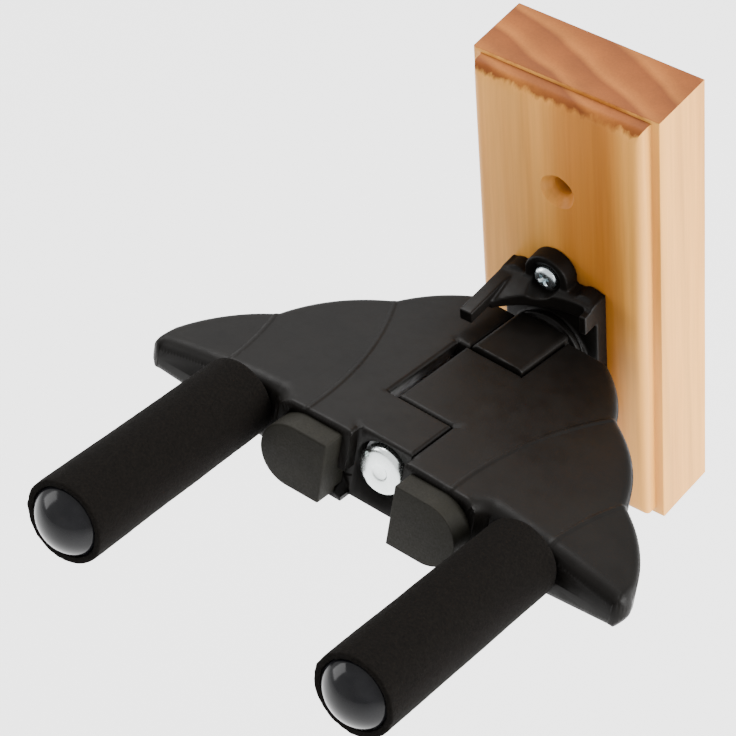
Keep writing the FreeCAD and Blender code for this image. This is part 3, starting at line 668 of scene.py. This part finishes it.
GRID = 1.7                # spacing of the skin's mesh away from edges and lines
CELL = 0.22               # no two of its points share a cell of this size
FAR = 1e9
STAND_OUT = 0.15          # the skin's free edges lie this far outside the CAD's walls
THIN_EDGE = 0.8           # the skin is never thinner than this at a wing's rim


def circle_through(a, b, c):
    """Centre and radius of the circle through three points."""
    ax, ay, bx, by, cx, cy = *a, *b, *c
    d = 2 * (ax * (by - cy) + bx * (cy - ay) + cx * (ay - by))
    ux = ((ax * ax + ay * ay) * (by - cy) + (bx * bx + by * by) * (cy - ay)
          + (cx * cx + cy * cy) * (ay - by)) / d
    uy = ((ax * ax + ay * ay) * (cx - bx) + (bx * bx + by * by) * (ax - cx)
          + (cx * cx + cy * cy) * (bx - ax)) / d
    return ux, uy, math.hypot(ax - ux, ay - uy)


def arc_points(a, b, c, step):
    """Points along the arc from a through b to c, without the last one."""
    ux, uy, r = circle_through(a, b, c)
    start = math.atan2(a[1] - uy, a[0] - ux)
    middle = math.atan2(b[1] - uy, b[0] - ux)
    end = math.atan2(c[1] - uy, c[0] - ux)
    turn = (end - start) % (2 * math.pi)
    if (middle - start) % (2 * math.pi) > turn:
        turn -= 2 * math.pi
    count = max(2, round(abs(turn) * r / step))
    return [(ux + r * math.cos(start + turn * k / count), uy + r * math.sin(start + turn * k / count))
            for k in range(count)]


def line_points(a, b, step):
    """Points along the line from a to b, without b."""
    count = max(1, round(math.dist(a, b) / step))
    return [(a[0] + (b[0] - a[0]) * k / count, a[1] + (b[1] - a[1]) * k / count)
            for k in range(count)]


CROWN_X, CROWN_W, CROWN_R = circle_through(*CROWN_POINTS)


def crown(x):
    """Height of the wing's top surface."""
    x = abs(x)
    if x < FLAT_OUT:
        return WING_TOP
    if x > CROWN_POINTS[2][0]:
        return CROWN_POINTS[2][1] - (x - CROWN_POINTS[2][0]) * 1.0
    return CROWN_W + math.sqrt(CROWN_R ** 2 - (x - CROWN_X) ** 2)


def skin_depth(x):
    share = min(1.0, max(0.0, (abs(x) - SKIN_FADE[0]) / (SKIN_FADE[1] - SKIN_FADE[0])))
    return SKIN[0] + (SKIN[1] - SKIN[0]) * share * share * (3 - 2 * share)


def belly(x):
    """Height of the wing's underside."""
    x = abs(x)
    for (x0, w0), (x1, w1) in zip(BELLY_POINTS, BELLY_POINTS[1:]):
        if x <= x1:
            return w0 + (w1 - w0) * (x - x0) / (x1 - x0)
    return BELLY_POINTS[-1][1] + (x - BELLY_POINTS[-1][0]) * 1.2


def wing_plan(inner):
    """Outline as (kind, points) runs round the wing. inner holds the stepped edge by the axle."""
    lip_start, lip_end = (LIP_OUT + 2.9, FRONT_S), (LIP_OUT, LIP_S)
    runs = [("seam", line_points((inner[0][0], 12.4), SCALLOPS[0][0], 1.2))]
    for scallop in SCALLOPS:
        runs.append(("outer", arc_points(*scallop, 1.0)))
    runs.append(("front", line_points(SCALLOPS[-1][-1], lip_start, 1.0)))
    runs.append(("front", arc_points(lip_start, (LIP_OUT + 1.45, FRONT_S + 0.9), lip_end, 0.5)))
    runs.append(("lip", line_points(lip_end, (inner[-1][0], LIP_S), 1.0)))
    back = list(reversed(inner))
    for a, b in zip(back, back[1:]):
        runs.append(("seam", line_points(a, b, 1.2)))
    return runs


ROUNDS = {"outer": (2.6, 2.0), "front": (4.2, 2.6), "lip": (1.3, 0.4), "seam": (0.75, 0.0)}
OFFSETS = (0.06, 0.16, 0.34, 0.6, 1.0, 1.5, 2.1, 2.8, 3.6, 4.6)


def point_line_distance(points, a, b):
    """Distance of many points from one segment."""
    a, b = np.array(a), np.array(b)
    span = b - a
    share = np.clip(((points - a) @ span) / (span @ span), 0, 1)
    return np.hypot(*(points - (a + share[:, None] * span)).T)


def inside(points, ring):
    """Even-odd test of many points against a closed ring."""
    result = np.zeros(len(points), bool)
    x, y = points[:, 0], points[:, 1]
    for (x0, y0), (x1, y1) in zip(ring, ring[1:] + ring[:1]):
        if y0 == y1:
            continue
        crossing = ((y0 > y) != (y1 > y)) & (x < (x1 - x0) * (y - y0) / (y1 - y0) + x0)
        result ^= crossing
    return result


def turning(points):
    """1 for an outline that goes anticlockwise, and -1 for one that goes clockwise."""
    area = sum(p[0] * q[1] - q[0] * p[1] for p, q in zip(points, points[1:] + points[:1]))
    return 1 if area > 0 else -1


def stood_out(flat):
    """Move the free edges of a closed outline a little outwards, so that the CAD's own walls stay."""
    points = [p for _, p in flat]
    turn = turning(points)
    moved = []
    for k, (kind, (x, s)) in enumerate(flat):
        if kind != "seam":
            before, after = points[k - 1], points[(k + 1) % len(points)]
            along = (after[0] - before[0], after[1] - before[1])
            length = math.hypot(*along)
            x += along[1] / length * turn * STAND_OUT
            s -= along[0] / length * turn * STAND_OUT
        moved.append((kind, (x, s)))
    return moved


def edge_samples(segments, turn):
    """Rows of points beside the outline, each with the least distance it keeps from any edge."""
    chosen = []
    for kind, p, q in segments:
        reach = ROUNDS[kind][0] + 0.5
        length = math.dist(p, q)
        normal = (-(q[1] - p[1]) / length * turn, (q[0] - p[0]) / length * turn)
        middle = ((p[0] + q[0]) / 2, (p[1] + q[1]) / 2)
        for offset in OFFSETS:
            if offset < reach:
                chosen.append((middle[0] + normal[0] * offset, middle[1] + normal[1] * offset,
                               offset))
    return chosen


def feather_samples():
    """Rows of points along the feather lines and close beside them."""
    chosen = []
    for feather in FEATHERS:
        ux, uy, r = circle_through(*feather)
        for x, s in arc_points(*feather, 0.9):
            out = ((x - ux) / r, (s - uy) / r)
            for offset in (-1.1, -0.75, -0.5, -0.25, 0.0, 0.25, 0.5, 0.75, 1.1):
                chosen.append((x + out[0] * offset, s + out[1] * offset, 0.2))
    return chosen


def grid_samples():
    """Staggered grid over the whole wing."""
    return [(-14.0 + GRID * (i + 0.5 * (j % 2)), 10.0 + GRID * j * 0.9, 0.9)
            for i in range(60) for j in range(54)]


def skin_points(segments, ring):
    """Plan positions inside the outline, dense at the rounds and the feather lines."""
    table = np.array(edge_samples(segments, turning(ring)) + feather_samples() + grid_samples())
    points, least = table[:, :2], table[:, 2]
    near = np.full(len(points), FAR)
    for _, p, q in segments:
        near = np.minimum(near, point_line_distance(points, p, q))
    points = points[inside(points, ring) & (near > least * 0.93) & (near > 0.05)]
    cells = np.round(points / CELL).astype(int)
    _, first = np.unique(cells, axis=0, return_index=True)
    return points[np.sort(first)]


def edge_drops(plan, segments):
    """How far the rounds lower the top and raise the underside at each plan position."""
    gap = {}
    for kind, p, q in segments:
        d = point_line_distance(plan, p, q)
        gap[kind] = np.minimum(gap.get(kind, np.full(len(d), FAR)), d)
    ahead = np.clip((np.abs(plan[:, 0]) - TIP_FADE[0]) / (TIP_FADE[1] - TIP_FADE[0]), 0, 1)
    scale = 1 - (1 - TIP_SHARE) * ahead
    drops = np.zeros((2, len(plan)))
    for kind, distance in gap.items():
        for drop, widest in zip(drops, ROUNDS[kind]):
            if widest > 0:
                radius = widest * (scale if kind == "outer" else 1)
                d = np.clip(distance, 0, radius)
                fall = radius - np.sqrt(np.clip(radius ** 2 - (radius - d) ** 2, 0, None))
                np.maximum(drop, fall, out=drop)
    return drops


def feather_relief(plan):
    """Rise of the bead along each feather line, less the small step down beyond it."""
    rise = np.zeros(len(plan))
    steps = np.zeros(len(plan))
    for feather in FEATHERS:
        ux, uy, r = circle_through(*feather)
        signed = np.hypot(plan[:, 0] - ux, plan[:, 1] - uy) - r
        outward = 1 if math.hypot(90 - ux, 40 - uy) > r else -1
        bead = np.clip(1 - (np.abs(signed) / FEATHER_HALF_W) ** 2, 0, 1)
        fade = np.clip((plan[:, 1] - (feather[0][1] - 1.0)) / 3.0, 0, 1)
        rise = np.maximum(rise, FEATHER_RISE * bead * fade)
        steps += FEATHER_STEP * np.clip((signed * outward) / 1.2, 0, 1) * fade
    return rise - steps


def closed_between(name, plan, triangles, top, low, side):
    """Closed solid between two height fields over the same triangles."""
    total = len(plan)
    points = [yoke_rest(side * x, s, height) for (x, s), height in zip(plan, top)]
    points += [yoke_rest(side * x, s, height) for (x, s), height in zip(plan, low)]
    faces = [tuple(t) for t in triangles]
    faces += [tuple(total + i for i in reversed(t)) for t in triangles]
    rim = {}
    for t in triangles:
        for i in range(len(t)):
            a, b = t[i], t[(i + 1) % len(t)]
            if (b, a) in rim:
                del rim[(b, a)]
            else:
                rim[(a, b)] = True
    faces += [(b, a, total + a, total + b) for a, b in rim]
    return clean(new_object(name, points, faces), WELD)


def wing_skin(name, inner, side):
    """Closed solid between the rounded top and underside of a wing, in yoke coordinates.

    side is 1 for the right wing and -1 for the left one, which mirrors x."""
    flat = stood_out([(kind, p) for kind, points in wing_plan(inner) for p in points])
    ring = [p for _, p in flat]
    segments = [(kind, p, q) for (kind, p), (_, q) in zip(flat, flat[1:] + flat[:1])]
    points = [Vector(p) for p in ring] + [Vector(p) for p in skin_points(segments, ring)]
    edges = [(k, (k + 1) % len(ring)) for k in range(len(ring))]
    verts, _, triangles, _, _, _ = geometry.delaunay_2d_cdt(points, edges, [], 1, 1e-5)
    plan = np.array([tuple(v) for v in verts])
    drop_top, drop_low = edge_drops(plan, segments)
    relief = feather_relief(plan)
    tops, lows = [], []
    for k, (x, s) in enumerate(plan):
        ripple = RIPPLE * noise.noise(Vector((x * 0.09, s * 0.09, 4.0 + side)))
        top = crown(x) - skin_depth(x) - drop_top[k] + relief[k] + ripple
        low = belly(x) - UNDER_SKIN + UNDER_ROUND * drop_low[k]
        if top - low < THIN_EDGE:
            top, low = (top + low + THIN_EDGE) / 2, (top + low - THIN_EDGE) / 2
        tops.append(top)
        lows.append(low)
    return closed_between(name, plan, triangles, tops, lows, side)


REAR_KNUCKLE = (33.7, 64.2)
FRONT_KNUCKLE = (64.6, 82.0)
# Stepped inner edge of each wing's top, from the rear to the lip, as (x, s).
RIGHT_INNER = [(8.53, 12.4), (8.53, REAR_KNUCKLE[0] + 0.03), (-9.37, REAR_KNUCKLE[0] + 0.03),
               (-9.37, REAR_KNUCKLE[1] - 0.03), (8.43, REAR_KNUCKLE[1] - 0.03), (8.43, 82.4),
               (8.63, 82.4), (8.63, LIP_S)]
LEFT_INNER = [(8.53, 12.4), (8.53, 33.3), (12.43, 33.3), (12.43, FRONT_KNUCKLE[0] + 0.03),
              (-7.97, FRONT_KNUCKLE[0] + 0.03), (-7.97, FRONT_KNUCKLE[1] - 0.03),
              (8.63, FRONT_KNUCKLE[1] - 0.03), (8.63, LIP_S)]


def build_wing(side_name, side, inner):
    """Shell and cover of one wing: the rounded skin cut to what the CAD shell and cover fill."""
    made = {}
    for part in ("wing_shell", "wing_cover"):
        skin = wing_skin(side_name + "_skin", inner, side)
        piece = cad_copy(side_name + "_" + part, side_name + "_" + part + "_look")
        boolean(piece, skin, "INTERSECT", solver="MANIFOLD")
        made[part] = smooth(clean(piece, WELD / 2), 35.0)
    return made


# ---------------------------------------------------------------- arms, pads, fasteners

ARM_X = 45.4
FOAM_S = (84.0, 154.6)
FOAM_R = (11.2, 11.9)
FOAM_ROWS = 64
CAP_SEAT_R = 10.0         # the foam is even inside this radius
CAP_SEAT_S = 149.65
CAP_R = 9.8
CAP_RIM = 154.0
CAP_FRONT = 159.4


def build_foam(side_name, side):
    """Foam tube: slightly uneven, soft at the root, curled and ragged at its front rim."""
    length = FOAM_S[1] - FOAM_S[0]
    profile = [(5.05, FOAM_S[0] + 0.3), (9.6, FOAM_S[0] + 0.15)]
    for k in range(5):
        a = math.radians(22.5 * k)
        profile.append((FOAM_R[0] - 1.0 + 1.0 * math.sin(a), FOAM_S[0] + 1.0 - 1.0 * math.cos(a)))
    for k in range(1, FOAM_ROWS):
        share = k / FOAM_ROWS
        profile.append((FOAM_R[0] + (FOAM_R[1] - FOAM_R[0]) * share,
                        FOAM_S[0] + 1.0 + (length - 1.6) * share))
    for k in range(6):
        a = math.radians(18 * k)
        profile.append((FOAM_R[1] - 0.6 * (1 - math.cos(a)), FOAM_S[1] - 0.6 + 0.55 * math.sin(a)))
    profile += [(10.15, FOAM_S[1] - 0.35), (9.85, FOAM_S[1] - 1.2), (9.85, CAP_SEAT_S),
                (5.05, CAP_SEAT_S)]

    def wobble(turn, s, radius):
        if radius < CAP_SEAT_R:
            return 0.0
        x, y = math.cos(turn), math.sin(turn)
        slow = noise.noise(Vector((x * 1.1, y * 1.1, s * 0.045 + 11 * side)))
        fine = noise.noise(Vector((x * 9.0, y * 9.0, s * 0.75 + 5 * side)))
        end = min(1.0, max(0.0, (s - (FOAM_S[1] - 2.5)) / 2.5))
        ragged = noise.noise(Vector((x * 6.0, y * 6.0, 3.0 * side)))
        return 0.16 * slow + 0.06 * fine + end * (0.30 * ragged - 0.05)

    closed = profile + profile[:1]
    foam_tube = lathe(side_name + "_foam_look", closed, on_arm, side * ARM_X, 120, wobble)
    return smooth(foam_tube, 50.0)


def build_cap(side_name, side):
    """Domed glossy button with a small flat flange."""
    profile = [(0.0, CAP_SEAT_S), (9.75, CAP_SEAT_S), (CAP_R, 149.8), (CAP_R, CAP_RIM - 0.25),
               (9.72, CAP_RIM)]
    rise = CAP_FRONT - CAP_RIM
    radius = (CAP_R ** 2 + rise ** 2) / (2 * rise)
    start = math.asin((CAP_R - 0.35) / radius)
    for k in range(29):
        a = start * (1 - k / 28)
        profile.append((radius * math.sin(a), CAP_FRONT - radius + radius * math.cos(a) - 0.02))
    cap = lathe(side_name + "_cap_look", profile, on_arm, side * ARM_X, 128)
    return smooth(cap, 40.0)


def build_bolt():
    """Axle bolt: low crowned head with a shallow ring and a small round drive hole."""
    head = [(0.0, 82.95), (1.9, 82.95), (2.15, 83.02), (2.4, 83.14), (2.7, 83.19), (4.3, 83.17),
            (5.4, 83.08)]
    for k in range(1, 9):
        a = math.radians(11.25 * k)
        head.append((5.5 + 1.6 * math.sin(a), 81.45 + 1.6 * math.cos(a)))
    head += [(7.1, 80.0), (7.1, 78.6), (6.9, 78.25), (4.02, 78.2), (3.98, 77.9), (3.98, -14.6),
             (3.4, -15.4), (0.0, -15.4)]
    bolt = lathe("axle_bolt_look", head, yoke_rest, 0.0, 128)
    notch = [(0.0, 82.0), (0.75, 82.0), (0.8, 84.0), (0.0, 84.0)]
    pin = lathe("notch", notch, lambda x, s, w: yoke_rest(x - 4.6, s, w + 3.4), 0.0, 24)
    boolean(bolt, pin, "DIFFERENCE")
    return smooth(bolt, 35.0)


SCREW_SEATS = (-30.6, -30.1)       # the y under the upper and the lower screw's head
SCREW_HEAD_H = 2.1
# (radius, depth below the top) pairs of the pan head, and of the shank from its seat on.
PAN_HEAD = ((0.0, 0.0), (1.6, 0.04), (2.4, 0.22), (3.0, 0.58), (3.35, 1.05), (3.5, 1.6), (3.46, 2.0))
SHANK = ((3.3, 0.0), (2.0, 0.0), (2.0, 14.0), (0.2, 17.0), (0.0, 17.0))


def screw_at(name, x, z, seat_y, turn):
    """Pan-head screw along +Y with a tapered cross recess."""
    front = seat_y - SCREW_HEAD_H
    profile = [(radius, front + depth) for radius, depth in PAN_HEAD]
    profile += [(radius, seat_y + depth) for radius, depth in SHANK]
    screw = drill(name, profile, x, z, 72)
    for quarter in range(2):
        a = turn + math.pi / 2 * quarter
        along = Vector((math.cos(a), 0, math.sin(a)))
        across = Vector((-math.sin(a), 0, math.cos(a)))
        corners = []
        for depth, reach, half in ((-0.6, 2.35, 0.62), (1.35, 0.75, 0.34)):
            for i, j in SQUARE:
                middle = Vector((x, front + depth, z))
                corners.append((middle + along * reach * i + across * half * j) * MM)
        boolean(screw, clean(new_object("wedge", corners, BOX_FACES)), "DIFFERENCE")
    return screw


def build_screws():
    """Both bracket screws as one object, as in the CAD."""
    upper = screw_at("bracket_screws_look", *UPPER_SCREW, SCREW_SEATS[0], math.radians(28))
    lower = screw_at("screw_low", *LOWER_SCREW, SCREW_SEATS[1], math.radians(70))
    work = bmesh.new()
    work.from_mesh(upper.data)
    work.from_mesh(lower.data)
    work.to_mesh(upper.data)
    work.free()
    bpy.data.objects.remove(lower)
    return smooth(upper, 30.0)


# ---------------------------------------------------------------- build

def paint(thing, material):
    """Give an object one material."""
    thing.data.materials.clear()
    thing.data.materials.append(material)
    return thing


def main():
    materials = {
        "pine_wood": wood(),
        "black_plastic": black_plastic(),
        "zinc_screw": metal("zinc_screw", (0.74, 0.82, 0.85), 0.26, 1500.0, 0.00002),
        "chrome_bolt": metal("chrome_bolt", (0.93, 0.99, 0.98), 0.24, 900.0, 0.00001),
        "zinc_steel": metal("zinc_steel", (0.66, 0.67, 0.68), 0.32, 1500.0, 0.00002),
        "spring_steel": metal("spring_steel", (0.42, 0.43, 0.45), 0.34, 1800.0, 0.00002),
        "bright_rod": metal("bright_rod", (0.62, 0.63, 0.64), 0.28, 1800.0, 0.00002),
        "brass_bush": metal("brass_bush", (0.72, 0.52, 0.24), 0.30, 1800.0, 0.00002),
        "black_foam": foam(),
        "gloss_cap": gloss(),
        "dark_rubber": rubber()}
    slots = {part["node"]: part["material_slot"] for part in frame["record"]["subparts"]}
    bodies = {name: frame["nodes"][name]["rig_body"] for name in slots}
    for name, slot in slots.items():
        paint(frame["nodes"][name], materials[slot])

    def set_in(thing, name):
        """Let a modelled piece stand for a CAD node, in its material and on its body."""
        paint(thing, materials[slots[name]])
        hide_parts(name)
        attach(thing, bodies[name])
        return thing

    set_in(build_block(), "wood_block")
    set_in(moulded("wall_bracket", "wall_bracket_look", 0.36, 5), "wall_bracket")
    set_in(build_screws(), "bracket_screws")
    set_in(moulded("swivel_hub", "swivel_hub_look", 0.36, 4), "swivel_hub")
    set_in(build_bolt(), "axle_bolt")
    for side_name, side, inner in (("right", 1, RIGHT_INNER), ("left", -1, LEFT_INNER)):
        for part, piece in build_wing(side_name, side, inner).items():
            set_in(piece, side_name + "_" + part)
        sleeve = set_in(build_foam(side_name, side), side_name + "_foam_sleeve")
        set_in(build_cap(side_name, side), side_name + "_end_cap")
        pad = bevelled(dissolved(cad_copy(side_name + "_neck_pad", side_name + "_pad_look")), 0.6, 4)
        set_in(smooth(pad, 40.0), side_name + "_neck_pad")
    make_camera()
    make_stage()


main()
